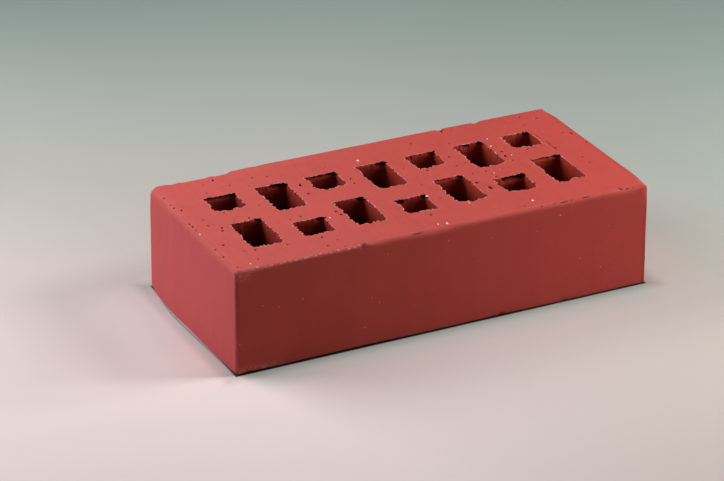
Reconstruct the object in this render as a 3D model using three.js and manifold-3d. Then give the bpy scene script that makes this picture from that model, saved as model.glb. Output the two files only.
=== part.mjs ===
// Perforated clay brick: one fired, wire-cut solid with fourteen vertical cells.
// Units are millimetres and +Z is up. The origin is the centre of the lower bed.
// +X runs along the stretcher, +Y across the header, and the cells run along Z.

import * as THREE from 'three';
import { mergeVertices } from 'three/addons/utils/BufferGeometryUtils.js';
import Module from 'manifold-3d';

const wasm = await Module();
wasm.setup();

// ---- driving dimensions ----------------------------------------------------

// Overall work size.
const brickLength = 220;
const brickWidth = 105;
const brickHeight = 54;

// Cells: two staggered rows of long and short cells, all of one width.
const cellWidth = 16.25;
const longCell = 29;
const shortCell = 17;
const columnWeb = 10.95; // clay between two neighbouring columns
const middleWeb = 3; // clay between the inner ends of the two rows' long cells
const coreOffsetX = -1.8; // the die's cores sit a little off the middle of the brick
const coreOffsetY = -1.5;
const columnStep = 0.35; // how much further back each column sits than the one before it
const leastHeaderShell = 18; // a further column is added where this much shell is still left

// Cell corners: each die core has three crisp corners and one worn round, the one towards -X and -Y.
const crispCornerRadius = 1;
const wornCornerRadius = 3.5;

// Arrises.
const sideArris = 1.6; // the four upright arrises, left by the die
const bedArris = 1; // round the upper and lower bed, left by the cutting wire
const rolledArris = 4; // upper bed, over the header at -X, pressed round while soft

// Facets.
const sideArrisSteps = 4;
const bedArrisSteps = 3;
const rolledArrisSteps = 10;
const cornerSteps = 4;
const cutOverrun = 2; // how far a cutting body runs past what it cuts

const firedClay = new THREE.MeshStandardMaterial({
  name: 'fired_clay',
  color: new THREE.Color().setRGB(0.72, 0.31, 0.27, THREE.SRGBColorSpace),
  roughness: 0.9,
  metalness: 0,
});

// ---- solids ------------------------------------------------------------------

// A closed three.js geometry as a solid that can be joined and cut.
function solidFrom(geometry) {
  const bare = geometry.clone();
  bare.deleteAttribute('normal');
  bare.deleteAttribute('uv');
  const merged = mergeVertices(bare, 1e-4);
  return new wasm.Manifold(new wasm.Mesh({
    numProp: 3,
    vertProperties: new Float32Array(merged.attributes.position.array),
    triVerts: new Uint32Array(merged.index.array),
  }));
}

// A solid back as flat-shaded three.js geometry.
function geometryFrom(solid) {
  const mesh = solid.getMesh();
  const geometry = new THREE.BufferGeometry();
  geometry.setAttribute('position', new THREE.BufferAttribute(mesh.vertProperties, 3));
  geometry.setIndex(new THREE.BufferAttribute(mesh.triVerts, 1));
  geometry.computeVertexNormals();
  return geometry;
}

// A rectangle from (x0, y0) to (x1, y1) with its own radius at each corner.
// Radii run from the lower left corner, anticlockwise.
function roundedRectangle(x0, y0, x1, y1, [lowerLeft, lowerRight, upperRight, upperLeft]) {
  const quarter = Math.PI / 2;
  const shape = new THREE.Shape();
  shape.moveTo(x0 + lowerLeft, y0);
  shape.lineTo(x1 - lowerRight, y0);
  shape.absarc(x1 - lowerRight, y0 + lowerRight, lowerRight, -quarter, 0);
  shape.lineTo(x1, y1 - upperRight);
  shape.absarc(x1 - upperRight, y1 - upperRight, upperRight, 0, quarter);
  shape.lineTo(x0 + upperLeft, y1);
  shape.absarc(x0 + upperLeft, y1 - upperLeft, upperLeft, quarter, 2 * quarter);
  shape.lineTo(x0, y0 + lowerLeft);
  shape.absarc(x0 + lowerLeft, y0 + lowerLeft, lowerLeft, 2 * quarter, 3 * quarter);
  return shape;
}

// The plain block: the die's outline, extruded to the wire's cut, with its bed arrises softened.
function block() {
  const outline = roundedRectangle(
    -brickLength / 2, -brickWidth / 2, brickLength / 2, brickWidth / 2,
    [sideArris, sideArris, sideArris, sideArris],
  );
  const geometry = new THREE.ExtrudeGeometry(outline, {
    depth: brickHeight - 2 * bedArris,
    curveSegments: sideArrisSteps,
    bevelEnabled: true,
    bevelThickness: bedArris,
    bevelSize: bedArris,
    bevelOffset: -bedArris,
    bevelSegments: bedArrisSteps,
  });
  geometry.translate(0, 0, bedArris);
  return solidFrom(geometry);
}

// What is taken off the header's upper arris at -X to leave it rolled over to a larger radius.
function rolledArrisCut() {
  const corner = new THREE.Shape();
  corner.moveTo(rolledArris, rolledArris);
  corner.absarc(rolledArris, 0, rolledArris, Math.PI / 2, Math.PI);
  corner.lineTo(-cutOverrun, 0);
  corner.lineTo(-cutOverrun, rolledArris + cutOverrun);
  corner.lineTo(rolledArris, rolledArris + cutOverrun);
  corner.closePath();
  const reach = brickWidth + 2 * cutOverrun;
  const geometry = new THREE.ExtrudeGeometry(corner, {
    depth: reach,
    curveSegments: rolledArrisSteps,
    bevelEnabled: false,
  });
  geometry.rotateX(Math.PI / 2);
  geometry.translate(-brickLength / 2, reach / 2, brickHeight - rolledArris);
  return solidFrom(geometry);
}

// One cell as the body that its die core leaves, from low to high in Y.
function cellCut(middle, low, high) {
  const outline = roundedRectangle(
    middle - cellWidth / 2, low, middle + cellWidth / 2, high,
    [wornCornerRadius, crispCornerRadius, crispCornerRadius, crispCornerRadius],
  );
  const geometry = new THREE.ExtrudeGeometry(outline, {
    depth: brickHeight + 2 * cutOverrun,
    curveSegments: cornerSteps,
    bevelEnabled: false,
  });
  geometry.translate(0, 0, -cutOverrun);
  return solidFrom(geometry);
}

// Every cell. Columns are set out from the middle of the cores. In each column one row has a
// long cell and the other a short one, and they change places from column to column.
function cellCuts() {
  const pitch = cellWidth + columnWeb;
  const roomForCells = brickLength - 2 * leastHeaderShell + columnWeb;
  const columns = Math.floor(roomForCells / pitch);
  const outer = middleWeb / 2 + longCell;
  const cuts = [];
  for (let column = 0; column < columns; column += 1) {
    const place = column - (columns - 1) / 2;
    const middle = coreOffsetX + place * pitch;
    const centre = coreOffsetY + place * columnStep;
    const longIsAtBack = column % 2 === 1;
    const backLength = longIsAtBack ? longCell : shortCell;
    const frontLength = longIsAtBack ? shortCell : longCell;
    const back = centre + outer;
    const front = centre - outer;
    cuts.push(cellCut(middle, back - backLength, back));
    cuts.push(cellCut(middle, front, front + frontLength));
  }
  return cuts;
}

// ---- model -------------------------------------------------------------------

function brick() {
  let solid = block().subtract(rolledArrisCut());
  for (const cut of cellCuts()) {
    solid = solid.subtract(cut);
  }
  const mesh = new THREE.Mesh(geometryFrom(solid), firedClay);
  mesh.name = 'brick';
  return mesh;
}

const model = new THREE.Group();
model.add(brick());

export default model;
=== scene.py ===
"""A wire-cut, perforated clay brick: its fired surface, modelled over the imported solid, on a pale floor.

Points are in metres in the brick's own frame: +X along the stretcher, +Y across the header, +Z up, and the
origin at the centre of the lower bed. The clay column left its die along Z, which gave the four upright
faces a smooth skin. The cutting wire then crossed the beds towards +Y, so it pulled clay over the near edge
of each cell and tore the far one.
"""

import itertools
import math
from typing import NamedTuple

import bpy
import numpy as np
from mathutils import Matrix, Vector
from mathutils.geometry import delaunay_2d_cdt


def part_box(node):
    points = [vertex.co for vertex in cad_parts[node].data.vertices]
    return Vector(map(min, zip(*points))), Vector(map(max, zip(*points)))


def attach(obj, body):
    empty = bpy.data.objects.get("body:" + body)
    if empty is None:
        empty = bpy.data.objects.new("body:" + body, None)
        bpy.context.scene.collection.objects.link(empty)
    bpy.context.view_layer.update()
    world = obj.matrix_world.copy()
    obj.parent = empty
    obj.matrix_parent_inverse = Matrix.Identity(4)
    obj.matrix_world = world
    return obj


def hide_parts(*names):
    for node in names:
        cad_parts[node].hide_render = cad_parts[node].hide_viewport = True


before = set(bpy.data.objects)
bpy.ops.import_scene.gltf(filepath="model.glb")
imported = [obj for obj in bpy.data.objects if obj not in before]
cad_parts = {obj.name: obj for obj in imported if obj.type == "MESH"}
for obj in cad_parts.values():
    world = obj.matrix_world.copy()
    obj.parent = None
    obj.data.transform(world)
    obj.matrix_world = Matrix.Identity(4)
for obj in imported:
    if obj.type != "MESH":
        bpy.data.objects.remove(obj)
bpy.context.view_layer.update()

bl_info = {
    "name": "Perforated Clay Brick",
    "version": (1, 0, 0),
    "blender": (4, 5, 0),
    "location": "View3D > Sidebar > Brick",
    "description": "Dresses a wire-cut, perforated brick in fired clay and sets it on a studio floor",
    "category": "Object",
}

MM = 0.001
NODE = "brick"
BODY = "root"
SOLID_LOW, SOLID_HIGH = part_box(NODE)
LENGTH, WIDTH, HEIGHT = SOLID_HIGH - SOLID_LOW
HALF_X, HALF_Y = LENGTH / 2, WIDTH / 2

# The upper front arris: places along X in millimetres, how soft it is at each one from 0 to 1, and how far it
# reaches over the bed as a share of its reach down the front.
SOFT_PLACES = (-110, -90, -75, -50, -38, -23, -7, 9, 17, 25, 42, 68, 78, 90, 104, 110)
SOFT_SHARES = (0.4, 0.3, 0.15, 0.2, 0.38, 0.5, 0.7, 0.65, 0.6, 0.5, 0.42, 0.5, 0.7, 0.75, 0.85, 0.4)
SOFT_REACH = 0.6
SWELL_PEAK = 18  # where along Y the left header swells out most, in millimetres

ARRIS_STEP = 0.35 * MM  # between points at an arris
ARRIS_REACH = 7 * MM  # how far in from an arris the points get sparser
SIDE_STEP = 1.45 * MM  # between points along the middle of a side
ROW_STEP, ROW_REACH = 2.4 * MM, 8 * MM  # the same two for the rows of a side, which lie one above another
UPPER_STEP, LOWER_STEP = 1.25 * MM, 2.2 * MM  # between points in the middle of a bed
MOUTH_STEP = 0.33 * MM  # between points round a cell's mouth
PALE_RIM_REACH = 0.5 * MM  # how far from a mouth its pale rim fades: rubbed clay with a painted highlight
CORNER_SHADE_REACH = 1.5 * MM  # how far down a wall the painted shade at its torn corner fades
RING_OFFSETS = np.array([0.22, 0.6, 1.2, 2.1]) * MM  # of the rings of points round a cell's mouth
PIT_CLEARANCE = 1.3  # how far the bed's other points stay from a pit's middle, in its own half sizes
DEEPEST_PIT = 1.3  # the width in millimetres from which a pit gets no deeper
GRAIN_HEIGHT = 0.18 * MM  # above the bed
HOLES_OMITTED = 2  # the triangulation's output type

UPPER_WAVES, LOWER_WAVES = 101, 151  # seeds of the beds' relief
UPPER_RIM, LOWER_RIM = 80, 40  # added to a cell's seed for its upper and lower mouth
CELL_SEED, NEXT_CELL = 200, 7  # the first cell's seed, and what each further cell adds to it
WEAR_SHIFT = 5  # a lower mouth is worn as the upper one this many cells further on
UPPER_LITTLE_PITS, LOWER_LITTLE_PITS = 24, 36  # scattered besides those that have places of their own
MARKS_APART = 4  # how far a scattered pit stays from those, in millimetres

FLOOR_RADIUS, FLOOR_SIDES = 4.0, 96
SENSOR_WIDTH = 36  # in millimetres
CLIP_NEAR, CLIP_FAR = 0.05, 50
CLAY_SPECULAR = 0.2


# ---- marks on this brick ----


class Pit(NamedTuple):
    """A small oval in a bed, in millimetres and degrees: a hole that the wire tore, or a grain of grog."""

    x: float
    y: float
    width: float
    length: float
    turn: float = 0


class Chip(NamedTuple):
    """A flake knocked off an arris, in millimetres: where it is, how far it spreads and how deep it goes."""

    x: float
    y: float
    z: float
    spread: float
    depth: float


class Wear(NamedTuple):
    """How one cell is worn at a bed: its worn corner's share of the usual radius, where clay broke away under
    its far edge, from 0 at the left end to 1 at the right one, how deep that goes, and how ragged its other
    edges are."""

    corner: float
    start: float
    end: float
    hollow: float
    ragged: float


UPPER_WEAR = tuple(Wear(*row) for row in (  # column by column, the back cell first
    (0.95, 0.05, 1.1, 0.7, 1.0), (0.9, 0.85, 1.1, 0.5, 1.3), (1.0, 0.5, 1.1, 0.9, 1.0),
    (1.1, 0.75, 1.1, 0.5, 1.3), (1.2, -0.1, 1.1, 0.6, 1.0), (1.2, 0.75, 1.1, 0.8, 1.2),
    (1.25, 0.7, 1.1, 0.9, 1.1), (1.2, -0.1, 0.3, 0.9, 1.1), (0.7, 0.22, 0.36, 0.8, 1.6),
    (1.4, -0.1, 0.6, 0.3, 1.4), (1.0, 0.3, 0.65, 0.8, 1.1), (1.2, 0.35, 1.1, 1.2, 1.3),
    (1.0, 0.8, 1.1, 0.6, 1.5), (0.8, -0.1, 1.1, 0.35, 2.0),
))
UPPER_PITS = tuple(Pit(*row) for row in (
    (-96, -6, 1.1, 1.6, -20), (-97, -9, 1.4, 1.6), (-103, -23.5, 1.5, 1.6), (-101, -1, 1.3, 1.2),
    (-91.5, -34.8, 1.4, 1.4), (-88.5, 9, 0.9, 1.0), (-78.5, 46, 1.2, 2.0, -20), (-80, -1.6, 1.0, 1.5),
    (-60, 40, 1.0, 1.1), (-53, 38, 1.0, 1.0), (-73.5, 36.5, 0.9, 0.9), (-42.5, 22, 1.2, 3.4, -14),
    (-43, 11, 1.4, 1.9), (-70, 9.5, 0.8, 0.8), (-63.5, -12, 1.0, 1.0), (-57.5, -11, 1.3, 1.1),
    (-58, -36.5, 1.4, 1.5), (-76, -36.5, 1.2, 1.2), (-59.5, -46, 1.1, 1.1), (-40, -13.5, 1.5, 1.8),
    (-39.2, -17.5, 1.2, 1.8), (37.5, 19.5, 1.1, 1.3), (36, 8, 1.5, 1.4), (41.5, 9.5, 0.9, 0.9),
    (46, -4, 1.1, 1.3), (47.5, -12, 1.2, 1.7), (64, 13.5, 3.0, 1.2, 10), (63.3, 8, 1.2, 2.7, -10),
    (39, -22, 1.7, 3.8, 8), (35.8, -14, 1.8, 2.3, 20), (20.5, 9.7, 1.7, 1.1), (-1, -37, 1.1, 1.9),
    (77, 10.6, 1.7, 0.9, 10), (107.6, 5, 0.8, 1.4), (99.5, 42.5, 1.3, 1.1), (90.2, 5.5, 1.4, 1.6),
    (48.5, 50, 1.1, 4.4), (-18, 12, 1.0, 1.4), (-106, 20.5, 0.9, 1.8, -15), (-108.4, 38, 0.9, 1.1),
    (-108.5, 29.5, 1.0, 1.2), (-108.4, 25, 1.0, 1.3), (-108.5, 5, 0.8, 1.3), (-108.4, 1.6, 1.2, 1.3),
    (-108.6, -3, 0.8, 1.1), (-108.4, -25.5, 0.8, 1.2), (-108.2, -35, 1.0, 1.3), (-106.5, -48, 1.1, 0.9),
    (50.9, -52.0, 1.8, 0.35), (57.8, -52.0, 2.6, 0.35, 2), (63.0, -52.15, 4.8, 0.45),
    (67.4, -51.9, 1.2, 0.4, 10), (75.3, -52.1, 4.8, 0.45, 1), (94.8, -51.4, 2.8, 0.5, -40),
    (98.4, -52.12, 2.2, 0.6), (101.7, -52.0, 1.5, 0.3, 4), (-15.6, -52.1, 6.4, 0.45, 1),
    (-44.0, -51.75, 2.0, 0.8, -30), (76.7, 10.5, 1.8, 1.0, 10), (80.6, 10.7, 1.2, 0.7, 20),
    (85.1, 11.5, 1.6, 0.5, 5), (106.2, 17.9, 0.8, 3.4, 8), (89.0, 22.8, 0.3, 12.4, 5),
    (89.4, 8.8, 0.3, 15.6, -1.5), (63.9, 1.7, 0.7, 0.9), (54.7, -4.5, 0.7, 1.0), (96.5, -10.1, 0.7, 0.8),
    (102.5, 20.5, 0.6, 0.9),
))
WHITE_GRAINS = tuple(Pit(*row) for row in (
    (-5.0, 35.3, 1.5, 2.5, -28), (6.7, -17.4, 2.0, 2.4, -20), (-45.5, -18.5, 1.1, 1.4),
    (1.5, -49, 1.3, 2.2, -10), (-2.8, -48, 0.9, 1.5, -10), (50, -44.5, 1.2, 1.8, -25),
    (62.2, 21.5, 1.0, 1.4, -20), (65, 30.5, 0.8, 1.5), (66.5, 7.5, 0.8, 1.2), (21.5, -33.4, 1.3, 0.8),
    (48.5, -8, 0.8, 1.0), (-99.5, -47.5, 0.9, 1.3), (-108.6, -7.5, 1.0, 1.4),
))
CHIPS = tuple(Chip(*row) for row in (
    (-104, -52.5, 0, 1.8, 0.4), (-107.5, -52.5, 0, 1.2, 0.3), (-99.5, -52.5, 0, 1.4, 0.35),
    (-43.8, -51.9, 53.8, 1.8, 1.0), (-46.6, -52.5, 53.4, 1.2, 0.35), (-67, -52.5, 54, 1.2, 0.3),
    (-108.6, -52.5, 53, 1.2, 0.3), (49, 52.5, 54, 1.6, 1.4), (69, 52.5, 54, 2.2, 0.9),
    (-18, 52.5, 0, 2.6, 0.8), (110, 52.5, 54, 1.4, 0.4), (30, -52.5, 0, 1.6, 0.5), (64, -52.5, 0, 1.4, 0.4),
    (38, 52.5, 0, 3.2, 1.0), (110, 26, 0, 2.4, 0.8), (110, 52.5, 0, 3.0, 1.2), (-70, 52.5, 0, 1.8, 0.6),
))


class Pool(NamedTuple):
    """Floor under a low soft box, in metres: its middle, the light there and far from it as shares of what
    falls beside the brick, and how far out that light fades."""

    x: float
    y: float
    peak: float
    rest: float
    fade: float


POOLS = (Pool(0.423, -0.154, 3.3, 0.44, 0.152), Pool(-0.40, 0.335, 1.76, 0.26, 0.353))


# ---- settings ----


def shift(name, description, default_mm, **limits):
    """A length that may be negative, given in millimetres and kept in metres."""
    return bpy.props.FloatProperty(
        name=name, description=description, default=default_mm * MM, unit="LENGTH", precision=5, **limits
    )


def length(name, description, default_mm):
    """A length that isn't negative, given in millimetres and kept in metres."""
    return shift(name, description, default_mm, min=0)


def portion(name, description, default):
    """A number from 0 to 1."""
    return bpy.props.FloatProperty(name=name, description=description, default=default, min=0, max=1)


def degrees(name, description, default):
    """An angle, given in degrees and kept in radians."""
    return bpy.props.FloatProperty(
        name=name, description=description, default=math.radians(default), subtype="ANGLE"
    )


def colour(name, description, default):
    """A colour, given as the three sRGB values that a colour picker shows, from 0 to 255."""
    return bpy.props.FloatVectorProperty(
        name=name, description=description, default=[linear(c / 255) for c in default],
        subtype="COLOR", size=3, min=0, max=1,
    )


def linear(value):
    """An sRGB value from 0 to 1 as linear light."""
    return value / 12.92 if value <= 0.04045 else ((value + 0.055) / 1.055) ** 2.4


class BrickSizes(bpy.types.PropertyGroup):
    """Sizes of the brick's cells, arrises and surface relief."""

    cell_width: length("Cell width", "Width of every cell along the brick", 16.25)
    long_cell: length("Long cell", "Length of a long cell across the brick", 29)
    short_cell: length("Short cell", "Length of a short cell across the brick", 17)
    column_web: length("Column web", "Clay between two columns of cells", 10.95)
    middle_web: length("Middle web", "Clay between the two rows' long cells", 3)
    core_x: shift("Core X", "How far the cells sit off the middle of the brick's length", -1.8)
    core_y: shift("Core Y", "How far the cells sit off the middle of the brick's width", -1.5)
    column_step: shift("Column step", "How much further back each column sits than the one before", 0.35)
    columns: bpy.props.IntProperty(name="Columns", description="Columns of cells", default=7, min=1)
    crisp_corner: length("Crisp corner", "Radius of a cell's corner towards -X and +Y", 0.9)
    torn_corner: length("Torn corner", "Radius of a cell's corner towards +X and +Y", 1.5)
    blunt_corner: length("Blunt corner", "Radius of a cell's corner towards +X and -Y", 2.8)
    pinch: length("Pinch", "How much narrower a cell is at its near end", 0.5)
    worn_corner: length("Worn corner", "Radius of a cell's corner towards -X and -Y", 4.0)
    side_arris: length("Side arris", "Radius of the four upright arrises", 1.2)
    bed_arris: length("Bed arris", "Radius round the beds where the wire left them crisp", 1)
    soft_arris: length("Soft arris", "Radius of the upper front arris where it is most worn", 4.5)
    rolled_arris: length("Rolled arris", "Radius of the upper arris over the left header", 4)
    header_swell: length("Header swell", "How far the left header swells out near the lower bed", 2.3)
    header_lean: length("Header lean", "How far the left header leans: in at its top, out at its foot", 0.45)
    front_lift: length("Front lift", "How far the lower front edge curls up off the floor", 0.5)
    bed_relief: length("Bed relief", "Height of the slow waves in a wire-cut bed", 0.10)
    burr: length("Burr", "How far the wire pulled clay over a cell's near edge", 1.5)
    tear: length("Tear", "How deep the wire tore a cell's other edges", 0.9)
    hollow: length("Hollow", "How far the torn wall stands back under a cell's far edge", 1.8)
    wall_relief: length("Wall relief", "Roughness of the cell walls", 0.16)


class ClayFinish(bpy.types.PropertyGroup):
    """Colours and roughness of the fired clay, with painted light and shade in some of them."""

    # The beds' colours, paler at the left end, and the skins', deeper at the left end, are painted light: the
    # top is lit brighter and the long faces darker towards the left end.
    bed_left: colour("Bed, left", "Wire-cut clay at the beds' left end, which fired paler", (206, 90, 85))
    bed_right: colour("Bed, right", "Wire-cut clay at the beds' right end", (192, 75, 67))
    skin_left: colour("Skin, left", "Smooth die skin at the left end of the long faces", (150, 52, 43))
    skin_right: colour("Skin, right", "Smooth die skin at the right end of the long faces", (164, 56, 48))
    header: colour("Header", "Die skin of the left header, which fired paler", (186, 74, 76))
    cell_left: colour("Cells, left", "Rough clay inside the cells at the left end", (142, 42, 30))
    cell_right: colour("Cells, right", "Rough clay inside the cells at the right end", (159, 52, 38))
    # core is painted shade: the cell walls darken towards it deeper in the cells.
    core: colour("Core", "Clay deep inside the cells", (92, 14, 12))
    # worn is rubbed clay with a painted highlight, along the arrises and round the cell mouths; the scuffs
    # take it too.
    worn: colour("Worn", "Rubbed clay along arrises and round cell mouths", (212, 112, 103))
    # pit is painted shade at the bottom of pits, under torn cell rims and at torn cell corners; it also
    # darkens chips and gives the dark specks.
    pit: colour("Pit", "Clay at the bottom of a pit", (52, 6, 4))
    grain: colour("Grain", "Pale grains of grog", (255, 232, 220))
    rolled: colour("Rolled", "Pinker clay that the die rolled over the upper arrises", (224, 108, 110))
    # Painted shade: how much darker the right header and its arrises are made, which keeps the lamps'
    # highlight off them.
    right_end_shade: portion("Dull end", "How much darker the right header fired", 0.3)
    bed_roughness: portion("Bed roughness", "Roughness of the wire-cut clay", 0.92)
    skin_roughness: portion("Skin roughness", "Roughness of the die skin", 0.68)


class StudioSettings(bpy.types.PropertyGroup):
    """Floor, camera and world."""

    # The six floor colours are painted light over the paper's own tint: bright in front of the brick and at
    # the left, darker behind it and at the right, as the lamps' light falls off.
    near_left: colour("Near left floor", "Floor in front of the brick, left", (241, 225, 222))
    near_right: colour("Near right floor", "Floor in front of the brick, right", (188, 177, 169))
    middle_left: colour("Middle left floor", "Floor beside the brick, left", (201, 190, 184))
    middle_right: colour("Middle right floor", "Floor beside the brick, right", (144, 146, 134))
    far_left: colour("Far left floor", "Floor behind the brick, left", (131, 153, 148))
    far_right: colour("Far right floor", "Floor behind the brick, right", (157, 176, 170))
    # Painted shadow: the colour of the dark ring round the brick's foot and of the floor under it.
    contact_shadow: colour("Contact", "Floor under the brick's lower edge", (14, 9, 8))
    # foot is painted shade: a greener darkening of the paper just in front of the brick.
    foot: colour("Foot", "Tint of the floor close to the brick's front", (226, 252, 247))
    # Painted light: these two paler colours lift the left header's cast shadow and the shade beside its foot.
    beside_header_lift: colour("Beside header", "Floor close to the left header", (250, 247, 252))
    header_shadow_lift: colour("Beyond header", "Floor in the left header's own shadow", (255, 238, 236))
    backdrop: colour("Backdrop", "What the camera sees above the floor", (157, 176, 170))
    world: colour("World", "Light from all round", (255, 255, 255))
    world_strength: bpy.props.FloatProperty(
        name="World strength", description="Strength of the light from all round", default=0.01, min=0
    )
    azimuth: degrees("Azimuth", "Camera's turn round the brick", -25.51)
    elevation: degrees("Elevation", "Camera's angle above the horizon", 25.67)
    roll: degrees("Roll", "Camera's lean", -0.41)
    distance: length("Distance", "From the lower bed's centre to the camera", 1484)
    right: shift("Right", "Camera's shift to its right", -18.04)
    up: shift("Up", "Camera's shift upwards", 21.76)
    lens: bpy.props.FloatProperty(
        name="Lens", description="Focal length on a 36 mm sensor, in millimetres", default=149.2
    )


# ---- noise ----


def lattice(ix, iy, iz, seed):
    """A fixed random number from -1 to 1 for each whole point, by way of an integer hash."""
    h = ix.astype(np.uint32) * np.uint32(374761393)
    h = h + iy.astype(np.uint32) * np.uint32(668265263)
    h = h + iz.astype(np.uint32) * np.uint32(2246822519)
    h = h + np.uint32(seed * 3266489917 % 2**32)
    h = (h ^ (h >> np.uint32(15))) * np.uint32(2246822519)
    h = (h ^ (h >> np.uint32(13))) * np.uint32(3266489917)
    h = h ^ (h >> np.uint32(16))
    return h.astype(float) / 2**31 - 1


def noise(points, size, seed):
    """Smooth noise from -1 to 1 at each point. size is how large its bumps are in millimetres: one number, or
    one for each axis."""
    p = points / (np.array(size) * MM)
    base = np.floor(p)
    t = p - base
    t = t * t * (3 - 2 * t)
    base = base.astype(np.int64)
    total = np.zeros(len(points))
    for corner in itertools.product((0, 1), repeat=3):
        weight = np.prod(np.where(corner, t, 1 - t), axis=1)
        total += weight * lattice(*(base + corner).T, seed)
    return total


def layered_noise(points, size, seed, layers=3):
    """Noise with finer and weaker layers added, about -1 to 1."""
    return sum(noise(points, np.array(size) / 2**k, seed + k) / 2**k for k in range(layers)) / 1.5


def smooth_step(start, end, value):
    """0 up to start, 1 from end on, and smooth between them. start may be the larger."""
    t = np.clip((value - start) / (end - start), 0, 1)
    return t * t * (3 - 2 * t)


def step_mm(start, end, value):
    """The same, with start and end in millimetres and value in metres."""
    return smooth_step(start * MM, end * MM, value)


def bell(distance, reach_mm):
    """1 at no distance, 0.37 at the reach and almost 0 at twice the reach."""
    return np.exp(-((distance / (reach_mm * MM)) ** 2))


def mix(a, b, share):
    """a where share is 0, b where it is 1."""
    return a + (b - a) * share


# ---- outlines ----


def graded_steps(total, fine, coarse, reach):
    """Places from 0 to total: fine apart at both ends, coarse apart from reach inwards."""
    samples = 4001
    x = np.linspace(0, total, samples)
    spacing = mix(fine, coarse, np.clip(np.minimum(x, total - x) / reach, 0, 1))
    steps = np.concatenate([[0], np.cumsum(np.diff(x) * 2 / (spacing[1:] + spacing[:-1]))])
    count = max(2, round(steps[-1]))
    return np.interp(np.linspace(0, steps[-1], count + 1), steps, x)


def block_steps(step):
    """Places along X and along Y over the block, finer at its arrises."""
    return [graded_steps(size, ARRIS_STEP, step, ARRIS_REACH) - size / 2 for size in (LENGTH, WIDTH)]


def rectangle_loop(xs, ys):
    """Points round a rectangle, anticlockwise from its lower left corner, at the given x and y places."""
    front = [(x, ys[0]) for x in xs[:-1]]
    right = [(xs[-1], y) for y in ys[:-1]]
    back = [(x, ys[-1]) for x in xs[:0:-1]]
    left = [(xs[0], y) for y in ys[:0:-1]]
    return np.array(front + right + back + left)


def cell_outline(middle, low, high, sizes, spacing, worn_share):
    """Even points round a cell, anticlockwise, and at each the direction into the clay.
    worn_share scales the radius of the worn corner."""
    half = sizes.cell_width / 2
    corners = (
        (middle - half, low, sizes.worn_corner * worn_share, math.pi),
        (middle + half - sizes.pinch, low, sizes.blunt_corner, 1.5 * math.pi),
        (middle + half, high, sizes.torn_corner, 2 * math.pi),
        (middle - half, high, sizes.crisp_corner, 2.5 * math.pi),
    )
    path, normals = [], []
    points_each = 13
    for x, y, radius, start in corners:
        centre_x = x + radius * math.copysign(1, middle - x)
        centre_y = y + radius * math.copysign(1, (low + high) / 2 - y)
        for angle in np.linspace(start, start + math.pi / 2, points_each):
            path.append((centre_x + radius * math.cos(angle), centre_y + radius * math.sin(angle)))
            normals.append((math.cos(angle), math.sin(angle)))
    path.append(path[0])
    normals.append(normals[0])
    path, normals = np.array(path), np.array(normals)
    along = np.concatenate([[0], np.cumsum(np.linalg.norm(np.diff(path, axis=0), axis=1))])
    count = 4 * round(along[-1] / spacing / 4)
    at = np.arange(count) * along[-1] / count
    points, normal = (
        np.stack([np.interp(at, along, line[:, k]) for k in range(2)], axis=1) for line in (path, normals)
    )
    return points, normal / np.linalg.norm(normal, axis=1, keepdims=True)


def cells(sizes):
    """(middle, low, high) of every cell. In each column one row has a long cell and the other a short one."""
    outer = sizes.middle_web / 2 + sizes.long_cell
    for column in range(sizes.columns):
        place = column - (sizes.columns - 1) / 2
        middle = sizes.core_x + place * (sizes.cell_width + sizes.column_web)
        centre = sizes.core_y + place * sizes.column_step
        long_is_at_back = column % 2 == 1
        back = sizes.long_cell if long_is_at_back else sizes.short_cell
        front = sizes.short_cell if long_is_at_back else sizes.long_cell
        yield middle, centre + outer - back, centre + outer
        yield middle, centre - outer, centre - outer + front


def clear_of_cells(flat, sizes, margin):
    """Which points lie at least a margin away from every cell."""
    clear = np.ones(len(flat), bool)
    x, y = flat.T
    for middle, low, high in cells(sizes):
        beside = np.abs(x - middle) > sizes.cell_width / 2 + margin
        clear &= beside | (y < low - margin) | (y > high + margin)
    return clear


def on_plane(points, z=0.0):
    """Flat points given a height."""
    return np.column_stack([points, np.full(len(points), z)])


# ---- relief ----


def edge_shares(normal):
    """How far each point of a cell's outline belongs to its near, far, left and right edge."""
    near, far = np.clip(-normal[:, 1], 0, 1), np.clip(normal[:, 1], 0, 1)
    left, right = np.clip(-normal[:, 0], 0, 1), np.clip(normal[:, 0], 0, 1)
    return near**2, far**2, left**2, right**2


def torn_corner(outline):
    """How near each point of a cell's outline is to the corner towards +X and +Y, from 0 to 1."""
    return bell(np.linalg.norm(outline - outline.max(axis=0), axis=1), 2.4)


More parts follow.
